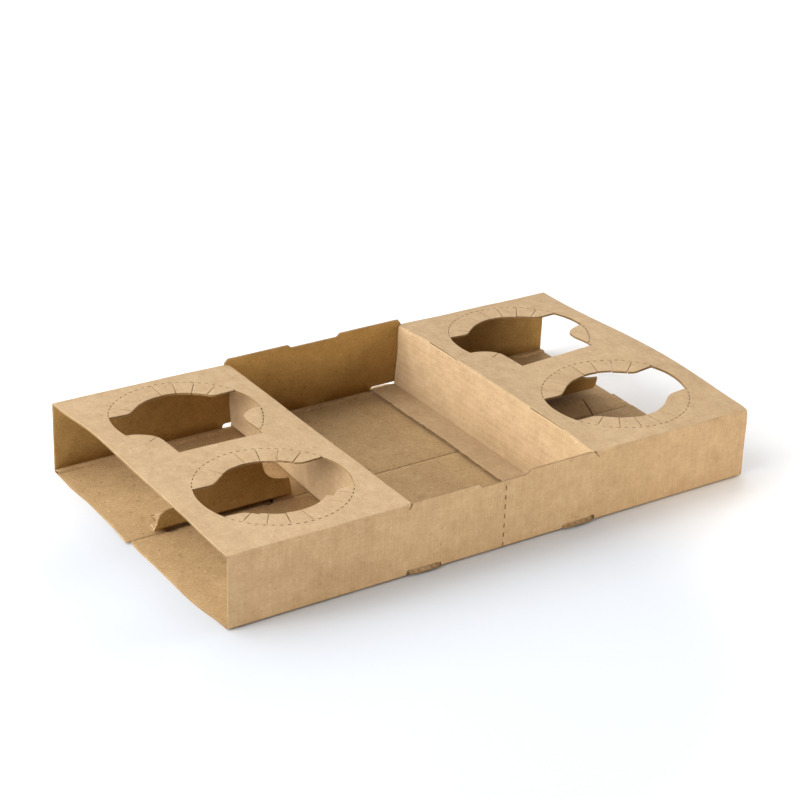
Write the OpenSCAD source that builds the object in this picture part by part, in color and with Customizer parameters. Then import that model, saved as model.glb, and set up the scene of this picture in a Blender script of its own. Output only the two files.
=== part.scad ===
// Four-cup carry tray folded from one die-cut blank of corrugated kraft board.
// A glued sleeve (floor, two walls, two cup decks) with partitions and dividers
// folded down out of the decks. Every panel between two creases is its own sub-part.
// X runs along the length, -Y is the front wall, +Z is up. The origin is the middle
// of the resting face. Panels are drawn flat where they are cut, then folded.

/* [Tray] */
// Length of the sleeve along X, mm
tray_l = 360; // [350:2:380]
// Width over the front and rear walls, mm
tray_w = 209; // [207:1:220]
// Height of the cup decks above the table, mm
tray_h = 45; // [44:0.5:50]
// Distance from the centre line to the fold between a deck and its partition, mm
deck_fold = 65; // [63:0.5:68]

/* [Board] */
// Thickness of the corrugated board, mm
board = 1.4; // [1.2:0.1:1.5]
// Thickness of each layer where the floor is lapped, glued and crushed, mm
lap_board = 1.0; // [0.8:0.1:1.1]
// Air left along every crease and cut between two panels that move apart, mm
gap = 0.3; // [0.25:0.05:0.35]

/* [Cup holes] */
// Distance of the cup centres from the middle of the tray along X, mm
cup_x = 121.5; // [120:0.5:123]
// Distance of the front cup centres in front of the middle, mm
cup_front = 47; // [46:0.5:49]
// Distance of the rear cup centres behind the middle, mm
cup_rear = 52.5; // [51:0.5:53]
// Radius of the perforated circle that the cup tabs fold along, mm
fold_r = 45; // [44:0.5:46]
// Radius of the cut edge that touches the cup, mm
cup_r = 31; // [30:0.5:32]
// Angle covered by one cup tab, degrees
tab_angle = 17.15; // [17:0.05:17.2]

/* [Dividers] */
// Width of the neck that joins a divider to its deck, mm
neck_w = 53; // [50:1:54]
// Lean of the left divider from upright, towards the rear, degrees
lean_left = -9.6; // [-12:0.2:10]
// Lean of the unlatched right divider from upright, towards the rear, degrees
lean_right = 24; // [0:1:30]

/* [Partitions] */
// Lean of the partitions, the foot nearer the middle than the head, degrees
partition_lean = 5.5; // [4:0.5:7]
// Width of the foot flange along X, mm
flange_w = 18.5; // [16:0.5:19]

/* [Floor] */
// Y of the front edge of the rear floor panel, mm
lap_front = 5; // [4.5:0.5:5.5]
// Y of the rear edge of the front floor panel, mm
lap_rear = 24.5; // [24:0.5:26]
// How far the lap edges are out of square because of the gluing, mm
lap_skew = 1.8; // [0:0.2:2]

/* [Hidden] */

half_l = tray_l / 2;
half_w = tray_w / 2;
inner_y = half_w - board;
deck_z = tray_h - board;
mid_z = tray_h - board / 2;
lap_top = 2 * lap_board;
// Panels stop this far from the axis of a crease, so that they can fold 90 degrees.
crease = board / 2 + gap;
// Half of a cut between two pieces of the deck.
kerf = 0.2;
// Height of the folded feet's mid plane, just clear of the floor lap.
foot_z = lap_top + gap + board / 2;
fold_drop = mid_z - foot_z;
partition_l = fold_drop / cos(partition_lean);
partition_foot_x = deck_fold - partition_l * sin(partition_lean);
divider_y = 12;
neck_v = divider_y - cup_rear;
// The divider's second crease, measured from the cup centre in the flat blank.
crease_v = neck_v + fold_drop;
ear_v = 16.7;
shoulder_v = -9;
ring_start = 90 - 4 * tab_angle;
slot_in = 42.6;
slot_out = 66;
slot_top = 4.6;
$fn = 96;

kraft_top = "#D8B98B";
kraft_side = "#C6A475";
kraft_in = "#A98859";
kraft_floor = "#B39163";

function dir(a) = [cos(a), sin(a)];
function side(a) = [-sin(a), cos(a)];
function bez2(p, q, r, n) = [for (i = [0:n]) let (t = i / n)
  (1 - t) * (1 - t) * p + 2 * t * (1 - t) * q + t * t * r];
function bez3(p, q, r, s, n) = [for (i = [0:n]) let (t = i / n)
  pow(1 - t, 3) * p + 3 * t * pow(1 - t, 2) * q + 3 * t * t * (1 - t) * r + pow(t, 3) * s];
// A smooth step of the free edge of a wall, from [x0, z0] to [x1, z1].
function step(x0, z0, x1, z1) = [for (i = [0:4])
  [x0 + (x1 - x0) * i / 4, z0 + (z1 - z0) * (1 - cos(45 * i)) / 2]];
// The cut from the end of the ring to the cup's edge, moved by k away from the hole.
function ring_end(k) = concat([[60, ear_v + k], [31, ear_v + k]],
  bez2([30.6, ear_v + k], [27.6, ear_v + k], (cup_r + k) * dir(47), 6));
// The cut from the neck to the ear, moved by k away from the divider.
function shoulder(k) = bez3([neck_w / 2 + k, -23], [neck_w / 2 + k, -12 - k],
  [36, -9.4 - k], [43.9 + k, shoulder_v - k], 8);

// ---------- walls ----------
module wall(outline) {
  difference() {
    rotate([90, 0, 0]) linear_extrude(board) polygon(outline);
    for (s = [-1, 1]) translate([s * (slot_in + slot_out) / 2, 0, 0]) rotate([90, 0, 0])
      translate([0, 0, -1]) linear_extrude(board + 2)
        polygon([[-11.2, 0.5], [11.2, 0.5], [11.7, 1], [11.7, 4.1], [11.2, slot_top],
                 [-11.2, slot_top], [-11.7, 4.1], [-11.7, 1]]);
    for (i = [0:5]) translate([-0.25, -board - 1, 1.2 + 7.4 * i]) cube([0.5, board + 2, 3.6]);
  }
}
module front_wall() {
  color(kraft_side) translate([0, -inner_y, 0]) wall(concat(
    [[-half_l, 0], [half_l, 0], [half_l, deck_z], [deck_fold + 0.9, deck_z],
     [deck_fold + 0.9, deck_z - 1], [deck_fold - 0.1, deck_z - 1], [deck_fold - 0.8, tray_h - 0.2],
     [63.4, tray_h + 0.6]],
    step(18, tray_h + 0.6, 13.5, tray_h - 2), step(-16.5, tray_h - 2, -19.5, tray_h + 0.6),
    [[-63.4, tray_h + 0.6], [-deck_fold + 0.8, tray_h - 0.2], [-deck_fold + 0.1, deck_z - 1],
     [-deck_fold - 0.9, deck_z - 1], [-deck_fold - 0.9, deck_z], [-half_l, deck_z]]));
}
module rear_wall() {
  color(kraft_in) translate([0, half_w, 0]) wall(concat(
    [[-half_l, 0], [half_l, 0], [half_l, deck_z], [deck_fold, deck_z],
     [deck_fold, tray_h + 0.8], [deck_fold - 2.2, tray_h + 3.4]],
    step(18.6, tray_h + 3.4, 15.4, tray_h + 1.2), step(-17.6, tray_h + 1.2, -20.4, tray_h + 3.4),
    [[-deck_fold + 2.2, tray_h + 3.4], [-deck_fold, tray_h + 0.8], [-deck_fold, deck_z],
     [-half_l, deck_z]]));
}

// ---------- floor, two panels lapped and glued ----------
module lock_slot(k) {
  for (s = [-1, 1]) translate([s * cup_x, 0, -1]) linear_extrude(board * 3)
    polygon([[-28 - k, 4 - k], [28 + k, 4 - k], [35.9 + k, lap_rear + 0.5],
             [-35.9 - k, lap_rear + 0.5]]);
}
module floor_panel(profile, edge) {
  difference() {
    intersection() {
      translate([half_l + 5, 0, 0]) rotate([0, -90, 0]) linear_extrude(tray_l + 10)
        polygon([for (p = profile) [p[1], p[0]]]);
      translate([0, 0, -1]) linear_extrude(10) polygon(edge);
    }
    lock_slot(0);
  }
}
module floor_front_panel() {
  color(kraft_floor) difference() {
    floor_panel([[-inner_y, 0], [lap_rear, 0], [lap_rear, lap_board], [4, lap_board],
                 [2.5, board], [-inner_y, board]],
      [[-half_l, -half_w], [half_l, -half_w], [half_l, -inner_y], [half_l + lap_skew, lap_rear],
       [-half_l + lap_skew, lap_rear], [-half_l, -inner_y]]);
    for (i = [0:12]) translate([-0.25, -100 + 7.8 * i, -1]) cube([0.5, 3.6, board + 2]);
  }
}
module floor_rear_panel() {
  color(kraft_floor) difference() {
    floor_panel([[lap_front, lap_board], [26, lap_board], [50, 0], [inner_y, 0],
                 [inner_y, board], [50, board], [26, lap_top], [lap_front, lap_top]],
      [[-half_l - lap_skew, lap_front], [half_l - lap_skew, lap_front], [half_l, inner_y],
       [half_l, half_w], [-half_l, half_w], [-half_l, inner_y]]);
    for (i = [0:8]) translate([-0.25, 30 + 7.8 * i, -1]) cube([0.5, 3.6, board + 3]);
  }
}
module floor_lock_flap(x, tilt) {
  color(kraft_floor) translate([x, 4, lap_board + tilt * lap_board / 2]) rotate([-2.8 * tilt, 0, 0])
    translate([0, 0, -lap_board / 2 - (1 - tilt) * lap_board / 2]) linear_extrude(lap_board)
      polygon([[-27.3, lap_board / 2 + gap + 0.2], [27.3, lap_board / 2 + gap + 0.2],
               [35.2, lap_rear - 4.2], [-35.2, lap_rear - 4.2]]);
}
module floor_lock_flap_left() { floor_lock_flap(-cup_x, 1); }
module floor_lock_flap_right() { floor_lock_flap(cup_x, 0); }

// ---------- cup decks ----------
module deck(s) {
  color(kraft_top) difference() {
    translate([s > 0 ? deck_fold + gap : -half_l, -half_w, deck_z])
      cube([half_l - deck_fold - gap, tray_w, board]);
    translate([s * cup_x, -cup_front, 0]) cylinder(h = 100, r = fold_r);
    // The rear hole stops at the crease that its divider hangs from.
    difference() {
      translate([s * cup_x, cup_rear, 0]) cylinder(h = 100, r = fold_r);
      translate([s * cup_x - 50, cup_rear - 60, -1]) cube([100, 60 + neck_v - gap, 102]);
    }
    translate([s * cup_x - neck_w / 2, divider_y - gap, 0]) cube([neck_w, 24, 100]);
  }
}
module deck_left() { deck(-1); }
module deck_right() { deck(1); }

// ---------- cup tabs, in pairs of neighbours that share a node ----------
module wedge(a0, a1) {
  polygon([16 * dir(a0) + kerf * side(a0), 60 * dir(a0) + kerf * side(a0),
           60 * dir(a1) - kerf * side(a1), 16 * dir(a1) - kerf * side(a1)]);
}
module ring_tab(a0) {
  difference() {
    intersection() {
      difference() { circle(r = fold_r - gap); circle(r = cup_r); }
      wedge(a0, a0 + tab_angle);
    }
    if (a0 < 47) polygon(concat([[0, 0], [60, 0]], ring_end(kerf)));
  }
}
// kind 0 is the pair at the end of the ring, 1 the pair next to the middle.
module ring_pair(kind) {
  a = ring_start + kind * 2 * tab_angle;
  linear_extrude(board) ring_tab(a);
  linear_extrude(board) ring_tab(a + tab_angle);
}
// The two small tabs left beside the neck of a divider.
module neck_tab(a0, a1) {
  difference() {
    intersection() { circle(r = fold_r - gap); wedge(a0, a1); }
    polygon(concat([[0, 60], [0, -60], [neck_w / 2 + kerf, -60]], shoulder(kerf),
      [[60, shoulder_v - kerf], [60, 60]]));
  }
}
module neck_pair() {
  linear_extrude(board) neck_tab(-58, -31.5);
  linear_extrude(board) neck_tab(-31.5, 0);
}
// q counts the pairs of a ring against the clock from the right-hand end of its rear half.
module tab_pair(x, y, q) {
  color(kraft_top) translate([x, y, deck_z])
    mirror([0, q > 4 ? 1 : 0, 0])
      let (p = q > 4 ? 9 - q : q)
        mirror([p > 2 ? 1 : 0, 0, 0]) ring_pair(p == 1 || p == 4 ? 0 : 1);
}
module front_left(q) { tab_pair(-cup_x, -cup_front, q); }
module front_right(q) { tab_pair(cup_x, -cup_front, q); }
module rear_tabs(x, q) {
  if (q < 5) tab_pair(x, cup_rear, q);
  else color(kraft_top) translate([x, cup_rear, deck_z])
    mirror([q == 5 ? 1 : 0, 0, 0]) neck_pair();
}

// ---------- partitions, folded down from the decks beside the centre well ----------
module partition(s) {
  color(kraft_top) translate([s * deck_fold, 0, mid_z]) rotate([0, s * (partition_lean - 90), 0])
    mirror([s > 0 ? 1 : 0, 0, 0]) translate([crease, -inner_y + 0.4, -board / 2])
      cube([partition_l - 2 * crease, 2 * (inner_y - 0.4), board]);
}
module partition_left() { partition(-1); }
module partition_right() { partition(1); }
module partition_flange(s) {
  color(kraft_floor) mirror([s < 0 ? 1 : 0, 0, 0])
    translate([partition_foot_x - flange_w, -inner_y + 0.4, foot_z - board / 2])
      cube([flange_w - crease, 2 * (inner_y - 0.4), board]);
}
module partition_flange_left() { partition_flange(-1); }
module partition_flange_right() { partition_flange(1); }
// The ends of the flange that reach out through the slots at the foot of the walls.
module flange_lock_ends(s) {
  color(kraft_side) mirror([s < 0 ? 1 : 0, 0, 0]) for (m = [0, 1]) mirror([0, m, 0])
    translate([0, inner_y - 0.4, foot_z - board / 2 - 0.8]) linear_extrude(board)
      polygon([[43.2, 0], [64, 0], [64, 2.4], [63.4, 3.6], [62.2, 4.3], [60, 4.8],
               [47, 4.8], [44.8, 4.3], [43.6, 3.4], [43.2, 2.2]]);
}
module flange_lock_ends_left() { flange_lock_ends(-1); }
module flange_lock_ends_right() { flange_lock_ends(1); }

// ---------- dividers, cut out of the rear cup holes and folded down ----------
module half_outline() {
  polygon(concat([[0, neck_v + crease], [neck_w / 2 - kerf, neck_v + crease]], shoulder(-kerf),
    [[60, shoulder_v + kerf]], ring_end(-kerf), [[0, 0]]));
}
module divider_blank() {
  intersection() {
    circle(r = fold_r - gap);
    union() { half_outline(); mirror([1, 0, 0]) half_outline(); translate([-12, -45.5]) square([24, 50]); }
  }
  intersection() {
    translate([-neck_w / 2 + kerf, neck_v + crease]) square([neck_w - 2 * kerf, 18]);
    union() { half_outline(); mirror([1, 0, 0]) half_outline(); }
  }
  intersection() { circle(r = cup_r - 2 * kerf); translate([-40, 0]) square([80, 40]); }
}
module divider(x, lean) {
  color(kraft_in) translate([x, divider_y, mid_z]) rotate([lean - 90, 0, 0])
    translate([0, -neck_v, -board / 2]) linear_extrude(board) intersection() {
      divider_blank();
      translate([-50, neck_v + crease]) square([100, fold_drop - 2 * crease]);
    }
}
module divider_foot(x, lean) {
  color(kraft_in) translate([x, cup_rear + fold_drop * (sin(lean) - 1), deck_z - fold_drop * cos(lean)])
    linear_extrude(board) intersection() {
      divider_blank();
      translate([-50, crease_v + crease]) square([100, 60]);
    }
}
module divider_left() { divider(-cup_x, lean_left); }
module divider_right() { divider(cup_x, lean_right); }
module divider_foot_left() { divider_foot(-cup_x, lean_left); }
module divider_foot_right() { divider_foot(cup_x, lean_right); }

front_wall();
rear_wall();
floor_front_panel();
floor_rear_panel();
deck_left();
deck_right();
partition_left();
partition_right();
partition_flange_left();
partition_flange_right();
flange_lock_ends_left();
flange_lock_ends_right();
divider_left();
divider_right();
divider_foot_left();
divider_foot_right();
floor_lock_flap_left();
floor_lock_flap_right();
front_left(1);  // tabs_front_left_1
front_left(2);  // tabs_front_left_2
front_left(3);  // tabs_front_left_3
front_left(4);  // tabs_front_left_4
front_left(5);  // tabs_front_left_5
front_left(6);  // tabs_front_left_6
front_left(7);  // tabs_front_left_7
front_left(8);  // tabs_front_left_8
front_right(1);  // tabs_front_right_1
front_right(2);  // tabs_front_right_2
front_right(3);  // tabs_front_right_3
front_right(4);  // tabs_front_right_4
front_right(5);  // tabs_front_right_5
front_right(6);  // tabs_front_right_6
front_right(7);  // tabs_front_right_7
front_right(8);  // tabs_front_right_8
rear_tabs(-cup_x, 1);  // tabs_rear_left_1
rear_tabs(-cup_x, 2);  // tabs_rear_left_2
rear_tabs(-cup_x, 3);  // tabs_rear_left_3
rear_tabs(-cup_x, 4);  // tabs_rear_left_4
rear_tabs(-cup_x, 5);  // tabs_rear_left_5
rear_tabs(-cup_x, 6);  // tabs_rear_left_6
rear_tabs(cup_x, 1);  // tabs_rear_right_1
rear_tabs(cup_x, 2);  // tabs_rear_right_2
rear_tabs(cup_x, 3);  // tabs_rear_right_3
rear_tabs(cup_x, 4);  // tabs_rear_right_4
rear_tabs(cup_x, 5);  // tabs_rear_right_5
rear_tabs(cup_x, 6);  // tabs_rear_right_6
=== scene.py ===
import math

import bpy
import numpy as np
from mathutils import Matrix, Vector
from mathutils.geometry import delaunay_2d_cdt


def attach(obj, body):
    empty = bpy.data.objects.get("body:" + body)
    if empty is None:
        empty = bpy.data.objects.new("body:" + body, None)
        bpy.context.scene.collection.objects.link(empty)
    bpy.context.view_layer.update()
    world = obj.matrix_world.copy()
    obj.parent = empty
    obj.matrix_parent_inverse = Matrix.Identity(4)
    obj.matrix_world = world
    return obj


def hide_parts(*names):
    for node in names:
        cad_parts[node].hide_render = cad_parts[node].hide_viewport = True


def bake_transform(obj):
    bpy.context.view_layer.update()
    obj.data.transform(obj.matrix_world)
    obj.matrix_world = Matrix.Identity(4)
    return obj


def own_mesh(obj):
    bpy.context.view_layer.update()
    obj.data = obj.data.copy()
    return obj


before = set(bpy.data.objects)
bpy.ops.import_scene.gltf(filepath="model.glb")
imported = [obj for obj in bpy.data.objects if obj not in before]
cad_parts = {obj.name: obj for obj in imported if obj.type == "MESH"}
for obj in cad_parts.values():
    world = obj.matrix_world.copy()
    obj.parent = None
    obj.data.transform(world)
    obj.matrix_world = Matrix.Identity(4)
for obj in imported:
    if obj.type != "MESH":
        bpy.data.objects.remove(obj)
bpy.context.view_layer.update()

# A cup carry tray folded from one blank of corrugated kraft board. All lengths are in mm
# until a mesh is made. U runs along the length of the blank, across the flutes, and V
# along the flutes, so that flutes, fibre and colour run on from panel to panel.

# ---------------------------------------------------------------- sizes
L2, W2, H = 180.0, 104.5, 45.0
T = 1.4                      # board
TL, TM = 0.22, 0.2           # liner, fluted medium
PITCH = 4.2                  # one flute
LAP = 1.0                    # each layer of the glued floor lap
MID = 44.3                   # middle of the deck's board
FOLD_X = 65.0
CUP_X, CUP_F, CUP_R = 121.5, -47.0, 52.5
R_FOLD, R_CUP, TAB = 45.0, 31.0, 17.15
RING0 = 90 - 4 * TAB
NECK, DIV_Y, FOOT_Z = 53.0, 12.0, 3.0
DROP = MID - FOOT_Z
NECK_V = DIV_Y - CUP_R
CREASE_V = NECK_V + DROP
EAR_V, SHOULDER_V = 16.7, -9.0
LEAN = {"left": -9.6, "right": 24.0}
PLEAN = 5.5
CR = 1.0                     # half width of a crease
RO = 1.3                     # outside radius of the sleeve's corners
RM = RO - T / 2
PART_L = DROP / math.cos(math.radians(PLEAN))
PART_X = FOLD_X - PART_L * math.sin(math.radians(PLEAN))
FLANGE_W = 18.5
IN_Y = 102.7
SIDES = {"left": -1, "right": 1}


def rad(a):
    return math.radians(a)


def pol(r, a):
    return np.array([r * math.cos(rad(a)), r * math.sin(rad(a))])


def arc(r, a0, a1, step=2.2, c=(0, 0)):
    n = max(2, int(abs(a1 - a0) / step) + 1)
    return [np.array(c) + pol(r, a0 + (a1 - a0) * i / n) for i in range(n + 1)]


def bez(*p, n=8):
    out = []
    for i in range(n + 1):
        t, q = i / n, [np.array(x, float) for x in p]
        while len(q) > 1:
            q = [a * (1 - t) + b * t for a, b in zip(q, q[1:])]
        out.append(q[0])
    return out


def smooth(t):
    t = np.clip(t, 0, 1)
    return t * t * (3 - 2 * t)


def bump(x, c, w):
    return np.exp(-((x - c) / w) ** 2)


def ring_end(k, s=1):
    a = [(60, EAR_V + k), (31, EAR_V + k)] + bez((30.6, EAR_V + k), (27.6, EAR_V + k), pol(R_CUP + k, 47))
    return [np.array([s * p[0], p[1]]) for p in a]


def shoulder(k, s=1):
    a = bez((NECK / 2 + k, -23), (NECK / 2 + k, -12 - k), (36, -9.4 - k), (43.9 + k, SHOULDER_V - k), n=12)
    return [np.array([s * p[0], p[1]]) for p in a]


def inside(poly, P):
    """Even-odd test of the points P in a polygon."""
    q = np.asarray(poly, float)
    a, b = q, np.roll(q, -1, 0)
    hit = np.zeros(len(P), bool)
    for (x0, y0), (x1, y1) in zip(a, b):
        if y0 == y1:
            continue
        m = (P[:, 1] > min(y0, y1)) & (P[:, 1] <= max(y0, y1))
        hit ^= m & (P[:, 0] < x0 + (P[:, 1] - y0) * (x1 - x0) / (y1 - y0))
    return hit


def rect(u0, u1, v0, v1):
    return [np.array(p) for p in ((u0, v0), (u1, v0), (u1, v1), (u0, v1))]


def densify(poly, step, closed=True):
    out, q = [], [np.asarray(p, float) for p in poly]
    for a, b in zip(q, q[1:] + (q[:1] if closed else [])):
        n = max(1, int(math.ceil(np.linalg.norm(b - a) / step)))
        out += [a + (b - a) * i / n for i in range(n)]
    return out if closed else out + [q[-1]]


def offset(poly, d):
    """The polygon moved by d along its corners' bisectors, on both sides of it."""
    q = np.asarray(poly, float)
    q = q[np.linalg.norm(q - np.roll(q, 1, 0), axis=1) > 1e-6]
    e0, e1 = q - np.roll(q, 1, 0), np.roll(q, -1, 0) - q
    n0 = np.stack([-e0[:, 1], e0[:, 0]], 1) / np.linalg.norm(e0, axis=1)[:, None]
    n1 = np.stack([-e1[:, 1], e1[:, 0]], 1) / np.linalg.norm(e1, axis=1)[:, None]
    n = (n0 + n1) / np.maximum(1 + (n0 * n1).sum(1), 0.35)[:, None]
    return q + d * n


# ---------------------------------------------------------------- meshes of board
def cut_sheet(keep, loops, ulines, vlines, rings=(), extra=()):
    """Triangles of the flat region where keep() is true. loops are its outlines; the lines and rings only add corners."""
    pts, segs = [], []

    def line(p, closed):
        k = len(pts)
        pts.extend([tuple(x) for x in p])
        segs.extend((k + i, k + i + 1) for i in range(len(p) - 1))
        if closed:
            segs.append((k + len(p) - 1, k))

    lo = np.min([np.min(l, 0) for l in loops], 0) - 1
    hi = np.max([np.max(l, 0) for l in loops], 0) + 1
    for l in loops:
        line(l, True)
        for d in rings:
            for s in (-1, 1):
                line(offset(l, s * d), True)
    for l in extra:
        line(l, False)
    vs = [v for v in vlines if lo[1] < v < hi[1]]
    us = [u for u in ulines if lo[0] < u < hi[0]]
    for u in us:
        line([(u, v) for v in [lo[1]] + vs + [hi[1]]], False)
    for v in vs:
        line([(u, v) for u in ([lo[0]] + us + [hi[0]])[:: 1]], False)
    vo, _, fo, _, _, _ = delaunay_2d_cdt([Vector(p) for p in pts], segs, [], 0, 1e-4)
    P = np.array([tuple(v) for v in vo])
    F = np.array([f for f in fo if len(f) == 3], int)
    keep_f = keep(P[F].mean(1))
    a, b, c = P[F[:, 0]], P[F[:, 1]], P[F[:, 2]]
    area = 0.5 * ((b - a)[:, 0] * (c - a)[:, 1] - (b - a)[:, 1] * (c - a)[:, 0])
    F[area < 0] = F[area < 0][:, ::-1]
    F = F[keep_f & (abs(area) > 1e-7)]
    used, F = np.unique(F, return_inverse=True)
    return P[used], F.reshape(-1, 3)


def rim_of(F):
    """The directed edges that only one triangle has."""
    e = np.concatenate([F[:, [0, 1]], F[:, [1, 2]], F[:, [2, 0]]])
    key = {(a, b) for a, b in e.tolist()}
    return np.array([(a, b) for a, b in e.tolist() if (b, a) not in key], int)


def distance(P, A, B):
    """Distance of the points P from the segments AB."""
    d = np.full(len(P), 1e9)
    for a, b in zip(A, B):
        e = b - a
        t = np.clip(((P - a) @ e) / max(e @ e, 1e-12), 0, 1)
        d = np.minimum(d, np.linalg.norm(P - a - t[:, None] * e, axis=1))
    return d


MATS = {}


class Board:
    """Collects the layers of one piece and makes its mesh."""

    def __init__(self, name):
        self.name, self.v, self.f, self.m, self.uv, self.sharp, self.n = name, [], [], [], [], [], 0

    def layer(self, P, F, top, bottom, at, mats, uv0=(0, 0), dim=None):
        """A closed shell between the heights top and bottom over the flat triangles. at(U, V, h) places a point.
        dim() says which of the rim's edges take the darker brown core rather than pale crushed liner: partly the real
        core of a cut edge, partly painted shade on the edges in the holes, which lie in shade."""
        n, rim = len(P), rim_of(F)
        shade = dim((P[rim[:, 0]] + P[rim[:, 1]]) / 2) if dim else np.zeros(len(rim), bool)
        U, V = P[:, 0], P[:, 1]
        X = np.concatenate([at(U, V, top), at(U, V, bottom)])
        flat = np.concatenate([P, P]) + np.array(uv0)
        faces = F.tolist() + (F[:, ::-1] + n).tolist()
        walls = [[a, a + n, b + n, b] for a, b in rim.tolist()]
        k = self.n
        self.v.append(X)
        self.f += [[i + k for i in f] for f in faces + walls]
        self.m += [mats[0]] * len(F) + [mats[1]] * len(F) + ["core" if d else mats[2] for d in shade]
        lay = [flat[f] for f in faces]
        for a, b in rim.tolist():
            e = P[b] - P[a]
            o = np.array([e[1], -e[0]]) / max(np.linalg.norm(e), 1e-9)
            q = [flat[a], flat[a] + o * abs(top[a] - bottom[a]), flat[b] + o * abs(top[b] - bottom[b]), flat[b]]
            lay.append(np.array(q))
        self.uv += lay
        self.sharp += [(a + k, b + k) for a, b in rim.tolist()] + [(a + n + k, b + n + k) for a, b in rim.tolist()]
        self.n += 2 * n

    def done(self, nodes, body=None):
        me = bpy.data.meshes.new(self.name)
        X = warp(np.concatenate(self.v)) / 1000
        me.from_pydata([tuple(p) for p in X], [], self.f)
        used = []
        for m in self.m:
            if m not in used:
                used.append(m)
        for m in used:
            me.materials.append(MATS[m])
        index = {m: i for i, m in enumerate(used)}
        me.polygons.foreach_set("material_index", [index[m] for m in self.m])
        me.polygons.foreach_set("use_smooth", [True] * len(self.f))
        layer = me.uv_layers.new(name="blank")
        layer.data.foreach_set("uv", (np.concatenate(self.uv) / 1000).astype(np.float32).ravel())
        sharp = {tuple(sorted(e)) for e in self.sharp}
        me.edges.foreach_set("use_edge_sharp", [tuple(sorted(e.vertices)) in sharp for e in me.edges])
        me.validate()
        me.update()
        ob = bpy.data.objects.new(self.name, me)
        bpy.context.scene.collection.objects.link(ob)
        if nodes:
            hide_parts(*nodes)
        if body:
            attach(ob, body)
        return ob


def board(piece, keep, loops, at, free=lambda M: np.ones(len(M), bool), thick=None, grid=(14, 14),
          rings=(0.35, 0.9), crush=0.2, uv0=(0, 0), extra=(), fine=PITCH / 8, medium=True, skin="outer", back="inner", dim=None):
    """Adds a panel of corrugated board to a piece: two liners and the fluted medium between them.
    h is positive on the side of the outer liner. free() says which of the rim's edges are cut edges. medium can
    give the fluted sheet its own at() and keep()."""
    lo = np.min([np.min(l, 0) for l in loops], 0)
    hi = np.max([np.max(l, 0) for l in loops], 0)
    thick = thick or (lambda U, V: np.full(len(U), T))
    us = [u for u in np.arange(math.floor(lo[0] / grid[0]) * grid[0] + 0.37, hi[0] + 1, grid[0])]
    vs = [v for v in np.arange(math.floor(lo[1] / grid[1]) * grid[1] + 0.41, hi[1] + 1, grid[1])]
    P, F = cut_sheet(keep, loops, us, vs, rings, extra)
    rim = rim_of(F)
    A, B = P[rim[:, 0]], P[rim[:, 1]]
    f = free((A + B) / 2)
    A, B = A[f], B[f]

    def height(Q):
        d = distance(Q, A, B) if len(A) else np.full(len(Q), 9.0)
        t = thick(Q[:, 0], Q[:, 1])
        return (t - crush * np.clip(1 - d / 0.9, 0, 1) ** 2) / 2

    t = height(P)
    if not medium:
        piece.layer(P, F, t, -t, at, (skin, back, "edge"), uv0, dim)
        return
    piece.layer(P, F, t, t - TL, at, (skin, "core", "edge"), uv0, dim)
    piece.layer(P, F, TL - t, -t, at, ("core", back, "edge"), uv0, dim)
    ms = [i * fine for i in range(math.ceil(lo[0] / fine), math.floor(hi[0] / fine) + 1)]
    at, keep = medium if isinstance(medium, tuple) else (at, keep)
    P, F = cut_sheet(keep, loops, ms, [v for v in vs if round((v - vs[0]) / grid[1]) % 2 == 0])
    t = height(P)
    w = (t - TL - TM / 2 + 0.02) * np.sin(2 * math.pi * P[:, 0] / PITCH)
    piece.layer(P, F, w + TM / 2, w - TM / 2, at, ("core", "core", "edge"), uv0, dim)


def flat(origin, eu, ev, n):
    """Places a flat panel: origin + U eu + V ev + h n."""
    o, a, b, c = (np.array(x, float) for x in (origin, eu, ev, n))
    return lambda U, V, h: o + np.outer(U, a) + np.outer(V, b) + np.outer(h, c)


def fold(P, e1, e2, n1, n2, c, axis, across):
    """Places the board of a crease of half width c. e1 and e2 point from the fold's axis into the two panels,
    whose outer normals are n1 and n2. across(U, V) gives the place across the fold, -c to c, and along it."""
    P, e1, e2, n1, n2, axis = (np.array(x, float) for x in (P, e1, e2, n1, n2, axis))
    inner = np.sign((n1 + n2) @ (e1 + e2)) or 1.0

    def at(U, V, h):
        s, y = across(U, V)
        t = np.clip((s + c) / (2 * c), 0, 1)
        mid = P + np.outer((1 - t) ** 2 * c, e1) + np.outer(t ** 2 * c, e2) + np.outer(y, axis)
        n = np.outer(1 - t, n1) + np.outer(t, n2)
        n /= np.linalg.norm(n, axis=1)[:, None]
        squeeze = np.where(h * inner > 0, 1 - 0.62 * np.sin(np.pi * t), 1 - 0.1 * np.sin(np.pi * t))
        return mid + n * (h * squeeze)[:, None]

    return at


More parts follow.
